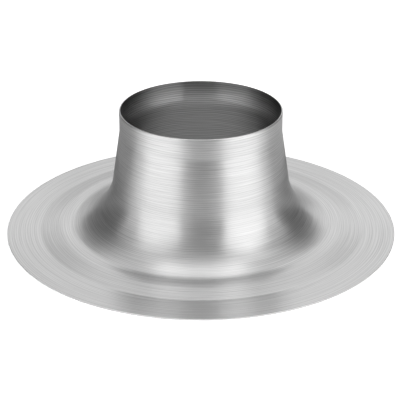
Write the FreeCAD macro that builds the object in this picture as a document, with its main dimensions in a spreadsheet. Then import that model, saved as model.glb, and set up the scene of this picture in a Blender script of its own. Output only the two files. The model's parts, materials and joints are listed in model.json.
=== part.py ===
"""Flashing plate for a pipe through a flat roof, spun from one disc of aluminium sheet.

One solid of even thickness: a flat bonding ring, a step up to a narrow plateau, a wide flare that starts at a
crease, a cone and a straight collar. Millimetres, +Z up, origin on the axis at the underside of the ring.
"""

import FreeCAD
import Part
import Sketcher

import math
import os

from FreeCAD import Vector

# Driving dimensions: name, value and what it measures. Lengths are millimetres, angles are degrees.
SIZES = (
    ("sheet_thickness", 1.2, "sheet, the same all over"),
    ("overall_height", 104, "underside of the bonding ring to the rim"),
    ("collar_bore", 131, "inside diameter of the straight collar"),
    ("collar_height", 16, "straight part of the collar, up to the rim"),
    ("collar_bend_radius", 25, "outer face, where the cone turns into the collar"),
    ("cone_angle", 8.5, "cone wall from the vertical"),
    ("flare_radius", 47, "upper face, from the slope at the foot into the cone"),
    ("foot_slope", 2.6, "straight run between the crease at the foot and the flare"),
    ("foot_angle", 18, "slope at the foot, from the level"),
    ("plateau_width", 5.9, "level ring between the foot and the step"),
    ("step_width", 21.2, "run of the step, its shoulder included"),
    ("step_rise", 3.6, "plateau above the bonding ring"),
    ("step_shoulder_radius", 36, "upper face, where the step turns over into the plateau"),
    ("bonding_width", 27.9, "flat outer ring that the roofing is bonded to"),
    ("edge_break", 0.25, "chamfer that takes the burr off the trimmed edges"),
)
NODE = "flashing_plate"

# Points of a line or an arc in a sketch, and the sketch's own origin and horizontal axis
FIRST, LAST, CENTRE = 1, 2, 3
ORIGIN = RADIUS_AXIS = -1

CREASE = 0  # radius of a corner that stays sharp
LARGEST_BREAK = 0.4  # of the sheet's thickness, so that the two chamfers of an edge never meet
SAME_PLACE = 1e-4


def add_sizes(doc):
    """The driving dimensions as aliased cells of a spreadsheet."""
    sheet = doc.addObject("Spreadsheet::Sheet", "Sizes")
    for row, (alias, value, meaning) in enumerate(SIZES, start=1):
        sheet.set(f"A{row}", meaning)
        sheet.set(f"B{row}", str(value))
        sheet.setAlias(f"B{row}", alias)
    doc.recompute()
    return sheet


def lower_corners(sheet):
    """Sharp corners of the section's lower face, from the flange's edge inwards and up to the rim.

    They start the sketch near its solution, and its constraints then set the true places.
    """
    lean = math.radians(sheet.cone_angle)
    foot = math.radians(sheet.foot_angle)
    bore_radius = sheet.collar_bore / 2
    cone_top = sheet.overall_height - sheet.collar_height
    flare_tangent = (sheet.flare_radius + sheet.sheet_thickness) * math.tan((math.pi / 2 - lean - foot) / 2)
    slope = flare_tangent + sheet.foot_slope
    slope_top = sheet.step_rise + slope * math.sin(foot)
    cone_foot = bore_radius + (cone_top - slope_top) * math.tan(lean)
    foot_corner = cone_foot + slope * math.cos(foot)
    step_inner = foot_corner + sheet.plateau_width
    step_outer = step_inner + sheet.step_width
    return [
        Vector(step_outer + sheet.bonding_width, 0),
        Vector(step_outer, 0),
        Vector(step_inner, sheet.step_rise),
        Vector(foot_corner, sheet.step_rise),
        Vector(cone_foot, slope_top),
        Vector(bore_radius, cone_top),
        Vector(bore_radius, sheet.overall_height),
    ]


def upper_corners(corners, thickness):
    """The lower corners moved through the sheet, to the right of their path."""
    rights = []
    for here, there in zip(corners, corners[1:]):
        run = (there - here).normalize()
        rights.append(Vector(run.y, -run.x))
    moved = [corners[0] + rights[0] * thickness]
    for corner, before, after in zip(corners[1:], rights, rights[1:]):
        moved.append(corner + (before + after) * (thickness / (1 + before.dot(after))))
    return [*moved, corners[-1] + rights[-1] * thickness]


def add_rounded_path(sketch, corners, radii):
    """Straight runs from corner to corner, joined by tangent arcs or at creases. Returns the runs and the arcs."""
    run_ends = [corners[0]]
    arcs = []
    for before, corner, after, radius in zip(corners, corners[1:], corners[2:], radii):
        if radius == CREASE:
            arcs.append(None)
            run_ends += [corner, corner]
            continue
        arriving = (corner - before).normalize()
        leaving = (after - corner).normalize()
        tangent = radius * math.tan(arriving.getAngle(leaving) / 2)
        start = corner - arriving * tangent
        end = corner + leaving * tangent
        turns_left = arriving.cross(leaving).z > 0
        to_centre = Vector(-arriving.y, arriving.x) if turns_left else Vector(arriving.y, -arriving.x)
        centre = start + to_centre * radius
        angles = [math.atan2(point.y - centre.y, point.x - centre.x) for point in (start, end)]
        if not turns_left:
            angles.reverse()
        circle = Part.Circle(centre, Vector(0, 0, 1), radius)
        arcs.append((sketch.addGeometry(Part.ArcOfCircle(circle, *angles)), turns_left))
        run_ends += [start, end]
    run_ends.append(corners[-1])
    runs = [
        sketch.addGeometry(Part.LineSegment(here, there))
        for here, there in zip(run_ends[::2], run_ends[1::2])
    ]
    for turn, run_in, run_out in zip(arcs, runs, runs[1:]):
        if turn is None:
            sketch.addConstraint(Sketcher.Constraint("Coincident", run_in, LAST, run_out, FIRST))
            continue
        arc, turns_left = turn
        near, far = (FIRST, LAST) if turns_left else (LAST, FIRST)
        sketch.addConstraint(Sketcher.Constraint("Tangent", run_in, LAST, arc, near))
        sketch.addConstraint(Sketcher.Constraint("Tangent", arc, far, run_out, FIRST))
    return runs, [turn[0] for turn in arcs if turn]


def add_trimmed_end(sketch, lower_run, upper_run, point):
    """The cut across the sheet that closes the section at one end."""
    end = Part.LineSegment(sketch.getPoint(lower_run, point), sketch.getPoint(upper_run, point))
    line = sketch.addGeometry(end)
    sketch.addConstraint(Sketcher.Constraint("Coincident", lower_run, point, line, FIRST))
    sketch.addConstraint(Sketcher.Constraint("Coincident", upper_run, point, line, LAST))
    return line


def bind(sketch, formula, kind, where, start, name=None):
    """Adds a dimension to the sketch and ties it to the spreadsheet. Its name is that of the size that drives it."""
    name = name or formula.split()[0]
    index = sketch.addConstraint(Sketcher.Constraint(kind, *where, start))
    sketch.renameConstraint(index, name)
    sketch.setExpression(f"Constraints.{name}", f"Sizes.{formula}")


def add_section(body, sheet):
    """The sheet's cross-section on one side of the axis: two faces of runs and arcs, and two trimmed ends."""
    sketch = body.newObject("Sketcher::SketchObject", "Section")
    plane = next(plane for plane in body.Origin.OriginFeatures if plane.Role == "XZ_Plane")
    sketch.AttachmentSupport = (plane, "")
    sketch.MapMode = "FlatFace"

    thickness = sheet.sheet_thickness
    shoulder = sheet.step_shoulder_radius
    flare = sheet.flare_radius
    collar = sheet.collar_bend_radius
    corners = lower_corners(sheet)
    upper_radii = (CREASE, shoulder, CREASE, flare, collar)
    lower_radii = (CREASE, shoulder - thickness, CREASE, flare + thickness, collar + thickness)
    lower, lower_arcs = add_rounded_path(sketch, corners, lower_radii)
    upper, upper_arcs = add_rounded_path(sketch, upper_corners(corners, thickness), upper_radii)
    edge = add_trimmed_end(sketch, lower[0], upper[0], FIRST)
    rim = add_trimmed_end(sketch, lower[-1], upper[-1], LAST)

    for lower_arc, upper_arc in zip(lower_arcs, upper_arcs):
        sketch.addConstraint(Sketcher.Constraint("Coincident", lower_arc, CENTRE, upper_arc, CENTRE))
    lower_ring, lower_step, lower_plateau, lower_slope, lower_cone, lower_collar = lower
    upper_ring, upper_step, upper_plateau, upper_slope, upper_cone, upper_collar = upper
    for level in (lower_ring, upper_ring, lower_plateau, upper_plateau, rim):
        sketch.addConstraint(Sketcher.Constraint("Horizontal", level))
    for upright in (lower_collar, upper_collar, edge):
        sketch.addConstraint(Sketcher.Constraint("Vertical", upright))
    for below, above in ((lower_step, upper_step), (lower_slope, upper_slope), (lower_cone, upper_cone)):
        sketch.addConstraint(Sketcher.Constraint("Parallel", below, above))
    sketch.addConstraint(Sketcher.Constraint("PointOnObject", lower_ring, FIRST, RADIUS_AXIS))

    to_rim = (ORIGIN, FIRST, lower_collar, LAST)
    over_step = (upper_plateau, FIRST, upper_ring, LAST)
    up_step = (lower_ring, LAST, lower_plateau, FIRST)
    bind(sketch, "sheet_thickness", "Distance", (edge,), thickness)
    bind(sketch, "sheet_thickness", "Distance", (upper_step, FIRST, lower_step), thickness, "step_thickness")
    bind(sketch, "sheet_thickness", "Distance", (upper_slope, FIRST, lower_slope), thickness, "slope_thickness")
    bind(sketch, "overall_height", "DistanceY", to_rim, sheet.overall_height)
    bind(sketch, "collar_bore / 2", "DistanceX", to_rim, sheet.collar_bore / 2)
    bind(sketch, "collar_height", "Distance", (upper_collar,), sheet.collar_height)
    bind(sketch, "collar_bend_radius", "Radius", (upper_arcs[2],), collar)
    bind(sketch, "cone_angle * 1 deg + 90 deg", "Angle", (upper_cone,), math.radians(sheet.cone_angle + 90))
    bind(sketch, "flare_radius", "Radius", (upper_arcs[1],), flare)
    bind(sketch, "foot_slope", "Distance", (upper_slope,), sheet.foot_slope)
    bind(sketch, "foot_angle * -1 deg + 180 deg", "Angle", (upper_slope,), math.radians(180 - sheet.foot_angle))
    bind(sketch, "plateau_width", "Distance", (upper_plateau,), sheet.plateau_width)
    bind(sketch, "step_width", "DistanceX", over_step, sheet.step_width)
    bind(sketch, "step_rise", "DistanceY", up_step, sheet.step_rise)
    bind(sketch, "step_shoulder_radius", "Radius", (upper_arcs[0],), shoulder)
    bind(sketch, "bonding_width", "Distance", (upper_ring,), sheet.bonding_width)
    return sketch


def trimmed_edges(solid):
    """Names of the circles at the rim and at the outside of the flange."""
    edges = enumerate(solid.Edges, start=1)
    circles = {f"Edge{number}": edge.Curve for number, edge in edges if edge.Curve.TypeId == "Part::GeomCircle"}
    rim_height = max(circle.Center.z for circle in circles.values())
    flange_radius = max(circle.Radius for circle in circles.values())
    return [
        name
        for name, circle in circles.items()
        if rim_height - circle.Center.z < SAME_PLACE or flange_radius - circle.Radius < SAME_PLACE
    ]


def add_plate(doc, sheet):
    """The section spun round the axis, with its trimmed edges broken."""
    body = doc.addObject("PartDesign::Body", "Plate")
    body.Label = NODE
    section = add_section(body, sheet)
    spun = body.newObject("PartDesign::Revolution", "SpunSheet")
    spun.Profile = section
    spun.ReferenceAxis = (section, ["V_Axis"])
    spun.Angle = 360
    section.Visibility = False
    doc.recompute()

    broken = body.newObject("PartDesign::Chamfer", "BrokenEdges")
    broken.Base = (spun, trimmed_edges(spun.Shape))
    broken.setExpression("Size", f"min(Sizes.edge_break; Sizes.sheet_thickness * {LARGEST_BREAK})")
    doc.recompute()
    if not section.FullyConstrained:
        raise RuntimeError("the section is not fully constrained")
    return body


def check(doc):
    """Stops on any object that failed to build."""
    for item in doc.Objects:
        if "Invalid" in item.State or "Error" in item.State:
            raise RuntimeError(f"{item.Label} failed: {item.State}")
        if hasattr(item, "Shape") and (item.Shape.isNull() or not item.Shape.isValid()):
            raise RuntimeError(f"{item.Label} has no valid shape")


def main():
    doc = FreeCAD.newDocument("FlashingPlate")
    plate = add_plate(doc, add_sizes(doc))
    check(doc)
    os.makedirs("parts", exist_ok=True)
    plate.Shape.exportStep(f"parts/{plate.Label}.step")


main()
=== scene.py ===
"""A spun aluminium flashing plate on a pale studio floor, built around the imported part's frame.

The plate is drawn as the section of its upper face, spun round the axis and given the sheet's thickness.
Lengths are metres, and the plate stands on the floor with its axis along Z and its front towards -Y.
"""

import json
import math
from typing import NamedTuple

import bmesh
import bpy
from bpy.props import FloatProperty, FloatVectorProperty, PointerProperty
from mathutils import Matrix, Vector


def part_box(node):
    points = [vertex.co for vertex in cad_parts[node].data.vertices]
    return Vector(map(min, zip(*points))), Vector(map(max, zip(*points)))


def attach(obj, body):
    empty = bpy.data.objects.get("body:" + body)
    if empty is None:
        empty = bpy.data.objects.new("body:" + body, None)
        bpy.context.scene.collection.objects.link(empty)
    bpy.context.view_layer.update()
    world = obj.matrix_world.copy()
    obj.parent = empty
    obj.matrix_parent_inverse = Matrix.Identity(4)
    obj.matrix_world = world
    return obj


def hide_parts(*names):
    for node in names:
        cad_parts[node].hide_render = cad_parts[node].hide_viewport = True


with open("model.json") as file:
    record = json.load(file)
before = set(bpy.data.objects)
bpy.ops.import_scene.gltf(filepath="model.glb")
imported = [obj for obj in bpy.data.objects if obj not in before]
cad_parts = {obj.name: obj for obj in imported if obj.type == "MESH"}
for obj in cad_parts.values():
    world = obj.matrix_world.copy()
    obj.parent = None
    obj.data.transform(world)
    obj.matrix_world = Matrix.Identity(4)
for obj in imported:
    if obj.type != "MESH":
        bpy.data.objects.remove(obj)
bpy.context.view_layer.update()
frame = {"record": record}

bl_info = {
    "name": "Flashing plate",
    "version": (1, 0, 0),
    "blender": (4, 5, 0),
    "location": "3D View > Sidebar > Flashing plate",
    "description": "A spun aluminium flashing plate for a flat roof, on a pale studio floor",
    "category": "Object",
}

MM = 0.001

# The part in the frame
NODE = "flashing_plate"
BODY = "root"
MOUNTS = {mount["name"]: mount for mount in frame["record"]["mounts"]}
BORE_RADIUS = MOUNTS["pipe_passage"]["dims"]["r_mm"] * MM
COLLAR_RADIUS = MOUNTS["collar_outside"]["dims"]["r_mm"] * MM
NODE_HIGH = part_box(NODE)[1]

# Steps of the mesh
AXIS = Vector((0, 0, 1))
TURN_AXIS = Vector((0, -1, 0))  # at right angles to the plane of the section
SPIN_STEPS = 240
RUN_STEP = 1 * MM
BEND_STEP = math.radians(2.5)
LEAST_BEND_STEPS = 4
ROUNDING_SEGMENTS = 3
SAME_PLACE = 0.001 * MM
SHARP = math.radians(40)  # faces that meet at a larger angle keep a hard edge

# Spinning lines: arcs round the axis, unevenness, and share of each kind in the streaks
FINE_ARCS = 12
FINE_DETAIL = 2
FINE_SHARE = 0.8
GROOVE_ARCS = 36
GROOVE_WANDER = 4
GROOVE_SHARE = 0.16
BAND_ARCS = 24
BAND_WANDER = 6
BAND_SHARE = 0.04
NOISE_LOW, NOISE_HIGH = 0.25, 0.75  # nearly all of the noise lies between these
WAVE_SCALE = math.pi / 10  # gives the wave texture one period for each unit
FACING_IN = -0.2  # a face that points outward by less than this is on the inside
COLLAR_FADE = 6 * MM  # the painted shade of the cone's inside changes to the collar's painted light over twice this height
QUARTER_TURN = 0.25


class Card(NamedTuple):
    """A flat rectangle that lies level, by its two sides and its middle."""

    name: str
    size: tuple
    place: tuple


class WallBox(NamedTuple):
    """A lamp that stands round the plate, by its bearing and spread in degrees and its edges' heights."""

    name: str
    bearing: float
    spread: float
    low: float
    high: float
    radiance: float


class Softbox(NamedTuple):
    """A rectangular lamp, by its middle, the point that it faces and its two sides."""

    name: str
    place: tuple
    aim: tuple
    size: tuple
    radiance: float


# The studio: cards lie in thin layers on the floor, and bearings go from the front round to the right
FLOOR = Card("floor", size=(40, 40), place=(0, 0, 0))
CARDS = (
    Card("near_card", size=(0.2, 0.15), place=(0.012, -0.245, 2 * MM)),
    Card("front_card", size=(0.46, 6), place=(0.012, -3.32, 2 * MM)),
    Card("left_card", size=(2.5, 5), place=(-1.25, 0, 0.4 * MM)),
    Card("right_card", size=(2.5, 5), place=(1.25, 0, 0.4 * MM)),
    # the card under the plate is painted shade: a dimmer floor inside the collar that only the metal sees
    Card("bore_shade_card", size=(0.15, 0.15), place=(0, 0, 2 * MM)),
)
SIDE_CARDS = ("left_card", "right_card")
EDGE_SHADE = (0.2, 0.27)  # distances from the axis between which the painted shadow beside the flange ends
FAR_SHADE = (0.3, 0.48)  # distances from the axis between which the shade far off begins
WALL_RADIUS = 1.3
WALL_BOXES = (
    WallBox("left_box", bearing=-50.5, spread=53, low=0, high=1.55, radiance=1.22),
    WallBox("left_wing", bearing=-91, spread=28, low=0.4, high=1.55, radiance=0.32),
    WallBox("left_wing_foot", bearing=-86, spread=18, low=0.1, high=0.4, radiance=0.75),
    WallBox("right_box", bearing=54.5, spread=53, low=0, high=2.0, radiance=1.4),
    WallBox("right_wing", bearing=96, spread=30, low=0.4, high=1.55, radiance=0.4),
    WallBox("right_wing_foot", bearing=90, spread=18, low=0.1, high=0.4, radiance=1.0),
    WallBox("back_box", bearing=178, spread=64, low=0.46, high=1.54, radiance=0.94),
    WallBox("left_lip", bearing=-18, spread=12, low=0, high=1.55, radiance=0.24),
    WallBox("right_lip", bearing=21, spread=14, low=0, high=1.55, radiance=0.16),
    WallBox("back_strip_right", bearing=162.5, spread=31, low=0, high=0.46, radiance=0.92),
    WallBox("back_strip_left", bearing=193.5, spread=31, low=0, high=0.46, radiance=0.68),
)
SOFTBOXES = (
    Softbox("top_box", place=(0, 0.24, 1.35), aim=(0, 0.24, 0), size=(0.9, 0.52), radiance=1.62),
    Softbox("ceiling", place=(0, 0.34, 1.4), aim=(0, 0.34, 0), size=(2.3, 1.8), radiance=0.53),
    Softbox("front_fill", place=(0, -1.4, 1.2), aim=(0, 0, 1.2), size=(0.9, 2.4), radiance=0.2),
)
CAMERA_PLACE = (0, -1.011, 0.496)
CAMERA_AIM = (-0.00074, 0, 0.02196)
CAMERA_LENS = 119.58  # millimetres
CAMERA_SENSOR = 36  # millimetres


def length(name, description, default):
    """A length that the sidebar shows in the scene's own unit."""
    return FloatProperty(
        name=name, description=description, default=default, min=0, unit="LENGTH", precision=5
    )


def angle(name, description, degrees):
    """An angle that the sidebar shows in degrees."""
    return FloatProperty(name=name, description=description, default=math.radians(degrees), subtype="ANGLE")


def factor(name, description, default):
    """A share from none to all."""
    return FloatProperty(name=name, description=description, default=default, min=0, max=1, subtype="FACTOR")


def tone(name, description, default):
    """A brightness against another one."""
    return FloatProperty(name=name, description=description, default=default, min=0)


def grey(name, description, level):
    """A neutral colour."""
    return FloatVectorProperty(
        name=name, description=description, default=(level, level, level, 1), size=4, subtype="COLOR"
    )


class PlateSizes(bpy.types.PropertyGroup):
    """Sizes of the spun sheet, measured on its upper face."""

    flange_radius: length("Flange radius", "Axis to the outer edge of the flange", NODE_HIGH[0])
    height: length("Height", "Underside of the flange to the rim", NODE_HIGH[2])
    collar_radius: length("Collar radius", "Outside of the straight collar", COLLAR_RADIUS)
    sheet: length("Sheet", "Thickness of the sheet", COLLAR_RADIUS - BORE_RADIUS)
    collar_height: length("Collar height", "Straight part of the collar", 16 * MM)
    collar_bend: length("Collar bend", "Radius where the cone turns into the collar", 25 * MM)
    cone_angle: angle("Cone angle", "Cone wall from the vertical", 8.5)
    flare_radius: length("Flare radius", "Radius of the wide flare up into the cone", 47 * MM)
    foot_slope: length("Foot slope", "Foot's corner to the flare", 2.6 * MM)
    foot_angle: angle("Foot angle", "Turn at the foot, from the plateau up to the flare", 18)
    foot_bend: length("Foot bend", "Radius of the foot's corner", 16 * MM)
    plateau_width: length("Plateau width", "Foot's corner to the step's shoulder", 5.9 * MM)
    step_width: length("Step width", "Run of the step with its shoulder", 21.2 * MM)
    step_rise: length("Step rise", "Plateau above the bonding ring", 3.6 * MM)
    step_shoulder: length("Step shoulder", "Radius where the step turns over into the plateau", 36 * MM)
    step_bend: length("Step bend", "Radius of the step's outer corner", 8 * MM)
    rim_round: length("Rim rounding", "Rounding of the rim's outer edge", 0.9 * MM)
    edge_break: length("Edge break", "Rounding of the other trimmed edges", 0.2 * MM)


class PlateFinishAndShade(bpy.types.PropertyGroup):
    """Finish of the spun aluminium, with the painted light and shade in the colour of its inside."""

    streak_dark: grey("Dark streak", "Colour of the metal in the dull spinning lines", 0.53)
    streak_light: grey("Light streak", "Colour of the metal in the bright spinning lines", 0.79)
    edge_tint: factor("Edge tint", "Share of light sent back at a grazing angle outside", 0.62)
    # the inside's low grazing reflection is painted shade at the collar's inner ends
    bore_edge_shade: factor("Bore edge shade", "Share of light sent back at a grazing angle inside", 0.1)
    # The next three are painted light and shade in the inside's colour, against the outside: painted shade
    # in the cone, painted light low in the collar, painted shade at the rim
    bore_shade: tone("Bore shade", "Brightness inside the cone, against the outside", 0.75)
    collar_light: tone("Collar light", "Brightness low inside the collar, against the outside", 1.25)
    rim_shade: tone("Rim shade", "Brightness inside the rim, against the outside", 0.45)
    bore_lines: factor("Bore lines", "Change of brightness inside, from groove to groove", 0.12)
    roughness: factor("Roughness", "Roughness of the spun face", 0.34)
    roughness_spread: factor("Roughness spread", "Change of roughness from line to line", 0.05)
    grain: factor("Grain", "Stretch of the sheen across the spinning lines", 0.74)
    bore_grain: factor("Bore grain", "Stretch of the sheen across the lines inside the collar", 0.95)
    line_pitch: length("Line pitch", "Width of the spinning lines", 0.7 * MM)
    groove_pitch: length("Groove pitch", "Feed of the roller from one turn to the next", 1.9 * MM)
    band_pitch: length("Band pitch", "Width of the broad bands left by the roller", 4.2 * MM)
    band_depth: length("Band depth", "Depth of the broad bands", 0.006 * MM)


class StudioLook(bpy.types.PropertyGroup):
    """Colours of the floor, the cards and the room."""

    floor: grey("Floor", "Colour of the floor", 0.92)
    backdrop: grey("Backdrop", "Colour of the floor as the camera and the metal see it", 1.58)
    near_card: grey("Near card", "Colour of the card close in front of the plate", 1.25)
    front_card: grey("Front card", "Colour of the long card in front of the plate", 0.05)
    left_card: grey("Left card", "Colour of the side card on the left", 0.88)
    right_card: grey("Right card", "Colour of the side card on the right", 1.32)
    # painted shadow of the plate on the floor beside the flange, as the metal sees it
    edge_shadow: grey("Edge shadow", "Colour of both side cards beside the flange", 0.2)
    far_card: grey("Far card", "Colour of both side cards far from the plate", 0.18)
    shade_hold: angle("Shade hold", "Angle from the back up to which the side cards keep their colours", 74)
    shade_end: angle("Shade end", "Angle from the back where the side cards match the floor", 117)
    # painted shade of the floor inside the collar, seen only in the metal
    bore_shade_card: grey("Bore shade card", "Colour of the card under the plate", 1.0)
    room: grey("Room", "Light of the room behind the lamps", 0.12)


class Section:
    """The upper face's section, drawn as straight runs and bends from the flange's edge to the rim."""

    def __init__(self, start, heading):
        self.bm = bmesh.new()
        self.tip = self.bm.verts.new(start)
        self.heading = heading

    def draw(self, steps, **motion):
        """Draws the line on from its tip, in equal steps."""
        made = bmesh.ops.spin(self.bm, geom=[self.tip], axis=TURN_AXIS, steps=steps, **motion)
        self.tip = next(item for item in made["geom_last"] if isinstance(item, bmesh.types.BMVert))

    def run(self, distance):
        """Goes straight on."""
        steps = max(1, round(distance / RUN_STEP))
        self.draw(steps, cent=self.tip.co, dvec=self.heading * (distance / steps), angle=0)

    def bend(self, radius, turn):
        """Turns by an angle on a circle, to the left where the angle is positive."""
        left = TURN_AXIS.cross(self.heading)
        centre = self.tip.co + left * math.copysign(radius, turn)
        steps = max(LEAST_BEND_STEPS, round(abs(turn) / BEND_STEP))
        self.draw(steps, cent=centre, dvec=Vector(), angle=turn)
        self.heading = Matrix.Rotation(turn, 3, TURN_AXIS) @ self.heading


def step_slope(sizes):
    """Angle and length of the step's slope, from its outer corner to its shoulder."""
    shoulder = sizes.step_shoulder
    slope = math.sqrt(sizes.step_width**2 + sizes.step_rise**2 - 2 * sizes.step_rise * shoulder)
    lean = math.atan2(shoulder, slope) - math.atan2(shoulder - sizes.step_rise, sizes.step_width)
    return lean, slope


def cone_top(sizes):
    """Height at which the cone begins to turn into the collar."""
    return sizes.height - sizes.collar_height - sizes.collar_bend * math.sin(sizes.cone_angle)


def draw_section(sizes):
    """The section of the upper face, from the edge of the flange in to the foot and up to the rim."""
    cone = sizes.cone_angle
    foot = sizes.foot_angle
    step_angle, step_length = step_slope(sizes)
    step_corner = sizes.step_bend * math.tan(step_angle / 2)
    foot_corner = sizes.foot_bend * math.tan(foot / 2)
    flare_rise = sizes.foot_slope * math.sin(foot) + sizes.flare_radius * (math.cos(foot) - math.sin(cone))
    flare_run = sizes.foot_slope * math.cos(foot) + sizes.flare_radius * (math.cos(cone) - math.sin(foot))
    cone_rise = cone_top(sizes) - flare_rise - sizes.step_rise - sizes.sheet
    cone_run = cone_rise * math.tan(cone) + sizes.collar_bend * (1 - math.cos(cone))
    foot_start = sizes.collar_radius + cone_run + flare_run
    ring_start = foot_start + sizes.plateau_width + sizes.step_width

    section = Section(Vector((sizes.flange_radius, 0, sizes.sheet)), Vector((-1, 0, 0)))
    section.run(sizes.flange_radius - ring_start - step_corner)
    section.bend(sizes.step_bend, -step_angle)
    section.run(step_length - step_corner)
    section.bend(sizes.step_shoulder, step_angle)
    section.run(sizes.plateau_width - foot_corner)
    section.bend(sizes.foot_bend, -foot)
    section.run(sizes.foot_slope - foot_corner)
    section.bend(sizes.flare_radius, cone - math.pi / 2 + foot)
    section.run(cone_rise / math.cos(cone))
    section.bend(sizes.collar_bend, -cone)
    section.run(sizes.collar_height)
    return section.bm


def round_ring(bm, radius, height, corner):
    """Rounds off the edge that runs round the axis at a radius and a height."""

    def on_ring(vert):
        return abs(vert.co.xy.length - radius) < SAME_PLACE and abs(vert.co.z - height) < SAME_PLACE

    ring = [edge for edge in bm.edges if all(on_ring(vert) for vert in edge.verts)]
    bmesh.ops.bevel(
        bm, geom=ring, offset=corner, offset_type="OFFSET", segments=ROUNDING_SEGMENTS, profile=0.5,
        affect="EDGES", clamp_overlap=True, material=-1,
    )


def spun_mesh(sizes):
    """The spun sheet as a closed mesh."""
    bm = draw_section(sizes)
    bmesh.ops.spin(
        bm, geom=[*bm.verts, *bm.edges], cent=(0, 0, 0), axis=AXIS, angle=2 * math.pi, steps=SPIN_STEPS,
        use_merge=True,
    )
    bmesh.ops.remove_doubles(bm, verts=bm.verts, dist=SAME_PLACE)
    bmesh.ops.recalc_face_normals(bm, faces=bm.faces)
    if sum(face.normal.z for face in bm.faces) < 0:
        bmesh.ops.reverse_faces(bm, faces=bm.faces)
    bmesh.ops.solidify(bm, geom=bm.faces[:], thickness=sizes.sheet)
    round_ring(bm, sizes.collar_radius, sizes.height, sizes.rim_round)
    round_ring(bm, sizes.collar_radius - sizes.sheet, sizes.height, sizes.edge_break)
    round_ring(bm, sizes.flange_radius, sizes.sheet, sizes.edge_break)
    round_ring(bm, sizes.flange_radius, 0, sizes.edge_break)
    for face in bm.faces:
        face.smooth = True
    for edge in bm.edges:
        edge.smooth = edge.calc_face_angle(0) < SHARP
    mesh = bpy.data.meshes.new("spun_plate")
    bm.to_mesh(mesh)
    bm.free()
    return mesh


class Finish:
    """A material's nodes, each made with its settings and joined to what it reads."""

    def __init__(self, material):
        material.use_nodes = True
        self.tree = material.node_tree

    def put(self, value, socket):
        """Links a socket to another one, or sets it to a plain value."""
        if isinstance(value, bpy.types.NodeSocket):
            self.tree.links.new(value, socket)
        else:
            socket.default_value = value

    def fill(self, node, inputs):
        """Fills a node's inputs by their names or numbers."""
        for key, value in inputs.items():
            self.put(value, node.inputs[key])

    def add(self, kind, inputs, **settings):
        """A new node with its settings made and its inputs filled."""
        node = self.tree.nodes.new(kind)
        for name, setting in settings.items():
            setattr(node, name, setting)
        self.fill(node, inputs)
        return node

    def shader(self, inputs):
        """Fills the inputs of the material's own shader."""
        self.fill(self.tree.nodes["Principled BSDF"], inputs)

    def place(self):
        """The place on the piece."""
        return self.add("ShaderNodeTexCoord", {}).outputs["Object"]

    def split(self, vector):
        """A vector's three parts, by their letters."""
        return self.add("ShaderNodeSeparateXYZ", {"Vector": vector}).outputs

    def number(self, operation, *values):
        """A number worked out from numbers."""
        inputs = dict(enumerate(values))
        return self.add("ShaderNodeMath", inputs, operation=operation).outputs["Value"]

    def measure(self, operation, *vectors):
        """A number worked out from vectors."""
        inputs = dict(enumerate(vectors))
        return self.add("ShaderNodeVectorMath", inputs, operation=operation).outputs["Value"]

    def vector(self, operation, *vectors):
        """A vector worked out from vectors."""
        inputs = dict(enumerate(vectors))
        return self.add("ShaderNodeVectorMath", inputs, operation=operation).outputs["Vector"]

    def scaled(self, vector, scale):
        """A vector or colour times a number."""
        inputs = {0: vector, "Scale": scale}
        return self.add("ShaderNodeVectorMath", inputs, operation="SCALE").outputs["Vector"]

    def between(self, share, first, second):
        """The first number where the share is none, the second where it is one."""
        return self.add("ShaderNodeMix", {"Factor": share, "A": first, "B": second}).outputs["Result"]

    def blend(self, share, first, second):
        """The first colour where the share is none, the second where it is one."""
        inputs = {"Factor": share, "A": first, "B": second}
        return self.add("ShaderNodeMix", inputs, data_type="RGBA").outputs["Result"]

    def fade(self, value, start, end):
        """None before the start and one after the end, with a soft change between."""
        inputs = {"Value": value, "From Min": start, "From Max": end}
        return self.add("ShaderNodeMapRange", inputs, interpolation_type="SMOOTHSTEP").outputs["Result"]


class SpinningLines(Finish):
    """A material with lines round the axis of a spun piece."""

    def __init__(self, material):
        super().__init__(material)
        place = self.place()
        flat = self.vector("MULTIPLY", place, (1, 1, 0))
        self.bearing = self.vector("NORMALIZE", flat)
        self.height = self.split(place)["Z"]
        self.along = self.number("SUBTRACT", self.height, self.measure("LENGTH", flat))

    def where(self, pitch, arcs):
        """The place across lines of a given width, with a number of steps round the axis."""
        across = self.number("DIVIDE", self.along, pitch)
        lift = self.add("ShaderNodeCombineXYZ", {"Z": across}).outputs["Vector"]
        return self.vector("ADD", self.scaled(self.bearing, arcs / (2 * math.pi)), lift)

    def noise(self, pitch, arcs, detail):
        """Uneven lines of a given width, each broken up into a number of arcs round the axis."""
        inputs = {"Vector": self.where(pitch, arcs), "Scale": 1, "Detail": detail}
        return self.add("ShaderNodeTexNoise", inputs).outputs["Fac"]

    def grooves(self, pitch, arcs, wander):
        """Even lines at a given pitch, which wander a little round the axis."""
        inputs = {
            "Vector": self.where(pitch, arcs), "Scale": WAVE_SCALE, "Distortion": wander,
            "Detail": 1, "Detail Scale": 1,
        }
        settings = {"wave_type": "BANDS", "bands_direction": "Z", "wave_profile": "SIN"}
        return self.add("ShaderNodeTexWave", inputs, **settings).outputs["Fac"]

    def inward(self):
        """One where the face looks in at the axis, else none."""
        normal = self.add("ShaderNodeNewGeometry", {}).outputs["True Normal"]
        outward = self.measure("DOT_PRODUCT", normal, self.bearing)
        return self.number("LESS_THAN", outward, FACING_IN)

    def spread(self, noise, low, high):
        """The noise's middle range stretched over a range of its own."""
        inputs = {
            "Value": noise, "From Min": NOISE_LOW, "From Max": NOISE_HIGH, "To Min": low, "To Max": high,
        }
        return self.add("ShaderNodeMapRange", inputs).outputs["Result"]


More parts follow.
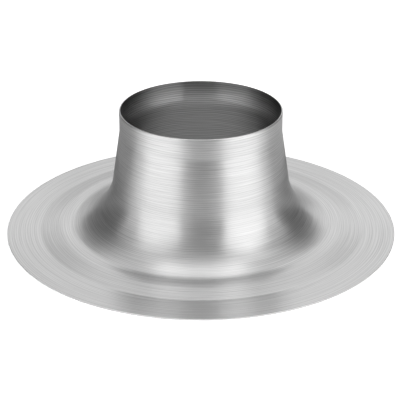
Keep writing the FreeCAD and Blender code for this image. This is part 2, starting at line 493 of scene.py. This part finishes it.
def painted_inner_light_and_shade(lines, finish_and_shade, grooves, collar, collar_start, rim):
    """Painted light and shade in the inside's colour: even painted shade in the cone, then painted light low
    in the collar, fading to painted shade at the rim.
    """
    upper = lines.between(lines.fade(lines.height, collar_start, rim), finish_and_shade.collar_light, finish_and_shade.rim_shade)
    plain = lines.between(collar, finish_and_shade.bore_shade, upper)
    lined = lines.between(grooves, 1 - finish_and_shade.bore_lines, 1 + finish_and_shade.bore_lines)
    return lines.number("MULTIPLY", plain, lined)


def spun_aluminium(finish_and_shade, collar_start, rim):
    """Bare aluminium with fine lines, grooves and broader bands round the axis, and painted light and shade
    in the colour of its inside.
    """
    material = bpy.data.materials.new("spun_aluminium")
    lines = SpinningLines(material)
    fine = lines.noise(finish_and_shade.line_pitch, FINE_ARCS, FINE_DETAIL)
    grooves = lines.grooves(finish_and_shade.groove_pitch, GROOVE_ARCS, GROOVE_WANDER)
    bands = lines.grooves(finish_and_shade.band_pitch, BAND_ARCS, BAND_WANDER)
    streak = lines.number("MULTIPLY", bands, BAND_SHARE)
    streak = lines.number("MULTIPLY_ADD", grooves, GROOVE_SHARE, streak)
    streak = lines.number("MULTIPLY_ADD", fine, FINE_SHARE, streak)
    colour = lines.blend(lines.spread(streak, 0, 1), finish_and_shade.streak_dark, finish_and_shade.streak_light)

    within = lines.inward()
    collar = lines.fade(lines.height, collar_start - COLLAR_FADE, collar_start + COLLAR_FADE)
    # painted light and shade for the colour of the inside
    painted_inside = painted_inner_light_and_shade(lines, finish_and_shade, grooves, collar, collar_start, rim)
    in_collar = lines.number("MULTIPLY", within, collar)
    smoothest = finish_and_shade.roughness - finish_and_shade.roughness_spread
    roughest = finish_and_shade.roughness + finish_and_shade.roughness_spread
    tangent = lines.add("ShaderNodeTangent", {}, direction_type="RADIAL", axis="Z")
    bump = lines.add("ShaderNodeBump", {"Strength": 1, "Distance": finish_and_shade.band_depth, "Height": bands})
    lines.shader({
        # the inside's colour is darkened by painted shade and lightened by painted light
        "Base Color": lines.scaled(colour, lines.between(within, 1, painted_inside)),
        "Metallic": 1,
        "Roughness": lines.spread(fine, smoothest, roughest),
        # the lower grazing reflection inside is painted shade at the collar's inner ends
        "Specular Tint": lines.between(within, finish_and_shade.edge_tint, finish_and_shade.bore_edge_shade),
        "Anisotropic": lines.between(in_collar, finish_and_shade.grain, finish_and_shade.bore_grain),
        "Anisotropic Rotation": QUARTER_TURN,
        "Tangent": tangent.outputs["Tangent"],
        "Normal": bump.outputs["Normal"],
    })
    return material


class FLASHING_OT_spun_plate(bpy.types.Operator):
    """Builds the spun sheet in place of the plain plate"""

    bl_idname = "flashing.spun_plate"
    bl_label = "Spun plate"

    def execute(self, context):
        sizes = context.scene.plate_sizes
        mesh = spun_mesh(sizes)
        piece = bpy.data.objects.new("spun_plate", mesh)
        context.scene.collection.objects.link(piece)
        mesh.materials.append(spun_aluminium(context.scene.plate_finish, cone_top(sizes), sizes.height))
        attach(piece, BODY)
        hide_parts(NODE)
        return {"FINISHED"}


def floor_paint(look):
    """Matt pale paint that the camera and the metal see as a white backdrop."""
    material = bpy.data.materials.new("floor_paint")
    paint = Finish(material)
    nodes = material.node_tree.nodes
    nodes.remove(nodes["Principled BSDF"])
    rays = paint.add("ShaderNodeLightPath", {}).outputs
    seen = paint.number("MAXIMUM", rays["Is Camera Ray"], rays["Is Glossy Ray"])
    seen = paint.number("MAXIMUM", seen, rays["Is Transmission Ray"])
    matt = paint.add("ShaderNodeBsdfDiffuse", {"Color": paint.blend(seen, look.floor, look.backdrop)})
    paint.put(matt.outputs["BSDF"], nodes["Material Output"].inputs["Surface"])
    return material


def card_paint(colour):
    """Matt card."""
    material = bpy.data.materials.new("card_paint")
    Finish(material).shader({"Base Color": colour, "Roughness": 1, "Specular IOR Level": 0})
    return material


def shade_paint(look, colour):
    """Matt side card with a painted shadow beside the flange, its own colour around that, and dark far off.

    From the plate's sides on to its front, all of it fades into the backdrop.
    """
    material = card_paint(colour)
    paint = Finish(material)
    place = paint.place()
    away = paint.measure("LENGTH", place)
    parts = paint.split(place)
    from_back = paint.number("ABSOLUTE", paint.number("ARCTAN2", parts["X"], parts["Y"]))
    # painted shadow beside the flange, fading to the card's own colour further out
    shade = paint.blend(paint.fade(away, *EDGE_SHADE), look.edge_shadow, colour)
    shade = paint.blend(paint.fade(away, *FAR_SHADE), shade, look.far_card)
    shade = paint.blend(paint.fade(from_back, look.shade_hold, look.shade_end), shade, look.backdrop)
    paint.shader({"Base Color": shade})
    return material


def lay_card(context, card, paint):
    """A flat rectangle of the studio."""
    bm = bmesh.new()
    bmesh.ops.create_grid(bm, x_segments=1, y_segments=1, size=0.5)
    bmesh.ops.scale(bm, verts=bm.verts, vec=(*card.size, 1))
    bmesh.ops.translate(bm, verts=bm.verts, vec=card.place)
    mesh = bpy.data.meshes.new(card.name)
    bm.to_mesh(mesh)
    bm.free()
    mesh.materials.append(paint)
    flat = bpy.data.objects.new(card.name, mesh)
    context.scene.collection.objects.link(flat)
    return flat


def lay_mirrored_card(context, card, paint):
    """A card that shows only in the metal, and casts no shadow."""
    flat = lay_card(context, card, paint)
    flat.visible_camera = False
    flat.visible_diffuse = False
    flat.visible_shadow = False


def facing(place, aim):
    """The turn of a lamp or camera that looks from its place at a point."""
    return (Vector(aim) - Vector(place)).to_track_quat("-Z", "Y").to_euler()


def hang_softbox(context, box):
    """A rectangular lamp that shows as a plain bright panel in the metal."""
    data = bpy.data.lights.new(box.name, "AREA")
    data.shape = "RECTANGLE"
    data.size, data.size_y = box.size
    data.energy = box.radiance * math.pi * data.size * data.size_y
    lamp = bpy.data.objects.new(box.name, data)
    lamp.location = box.place
    lamp.rotation_euler = facing(box.place, box.aim)
    lamp.visible_camera = False
    context.scene.collection.objects.link(lamp)


def stand_wall_box(context, box):
    """A softbox that stands on a circle round the plate and faces its axis."""
    turn = math.radians(box.bearing)
    middle = Vector((0, 0, (box.low + box.high) / 2))
    place = middle + WALL_RADIUS * Vector((math.sin(turn), -math.cos(turn), 0))
    width = 2 * WALL_RADIUS * math.tan(math.radians(box.spread) / 2)
    hang_softbox(context, Softbox(box.name, place, middle, (width, box.high - box.low), box.radiance))


def light_room(context, colour):
    """A little light from all round."""
    world = bpy.data.worlds.new("studio")
    world.use_nodes = True
    world.node_tree.nodes["Background"].inputs["Color"].default_value = colour
    context.scene.world = world


def set_camera(context):
    """The camera in front of the plate, which looks down into its collar."""
    data = bpy.data.cameras.new("camera")
    data.lens = CAMERA_LENS
    data.sensor_width = CAMERA_SENSOR
    camera = bpy.data.objects.new("camera", data)
    camera.location = CAMERA_PLACE
    camera.rotation_euler = facing(CAMERA_PLACE, CAMERA_AIM)
    context.scene.collection.objects.link(camera)
    context.scene.camera = camera


class FLASHING_OT_studio(bpy.types.Operator):
    """Sets up the floor, the cards, the lamps and the camera"""

    bl_idname = "flashing.studio"
    bl_label = "Studio"

    def execute(self, context):
        look = context.scene.studio_look
        lay_card(context, FLOOR, floor_paint(look))
        for card in CARDS:
            colour = getattr(look, card.name)
            paint = shade_paint(look, colour) if card.name in SIDE_CARDS else card_paint(colour)
            lay_mirrored_card(context, card, paint)
        for box in WALL_BOXES:
            stand_wall_box(context, box)
        for box in SOFTBOXES:
            hang_softbox(context, box)
        light_room(context, look.room)
        set_camera(context)
        context.scene.view_settings.view_transform = "Standard"
        return {"FINISHED"}


class FLASHING_PT_panel(bpy.types.Panel):
    """Sizes, finish, painted light and shade, and building steps of the flashing plate"""

    bl_label = "Flashing plate"
    bl_idname = "FLASHING_PT_panel"
    bl_space_type = "VIEW_3D"
    bl_region_type = "UI"
    bl_category = "Flashing plate"

    def draw(self, context):
        for group in (context.scene.plate_sizes, context.scene.plate_finish, context.scene.studio_look):
            box = self.layout.box()
            for name in group.__annotations__:
                box.prop(group, name)
        self.layout.operator(FLASHING_OT_spun_plate.bl_idname)
        self.layout.operator(FLASHING_OT_studio.bl_idname)


CLASSES = (
    PlateSizes, PlateFinishAndShade, StudioLook,
    FLASHING_OT_spun_plate, FLASHING_OT_studio, FLASHING_PT_panel,
)


def register():
    for cls in CLASSES:
        bpy.utils.register_class(cls)
    bpy.types.Scene.plate_sizes = PointerProperty(type=PlateSizes)
    bpy.types.Scene.plate_finish = PointerProperty(type=PlateFinishAndShade)
    bpy.types.Scene.studio_look = PointerProperty(type=StudioLook)


def unregister():
    del bpy.types.Scene.studio_look
    del bpy.types.Scene.plate_finish
    del bpy.types.Scene.plate_sizes
    for cls in reversed(CLASSES):
        bpy.utils.unregister_class(cls)


def main():
    register()
    bpy.ops.flashing.spun_plate()
    bpy.ops.flashing.studio()


if __name__ == "__main__":
    main()
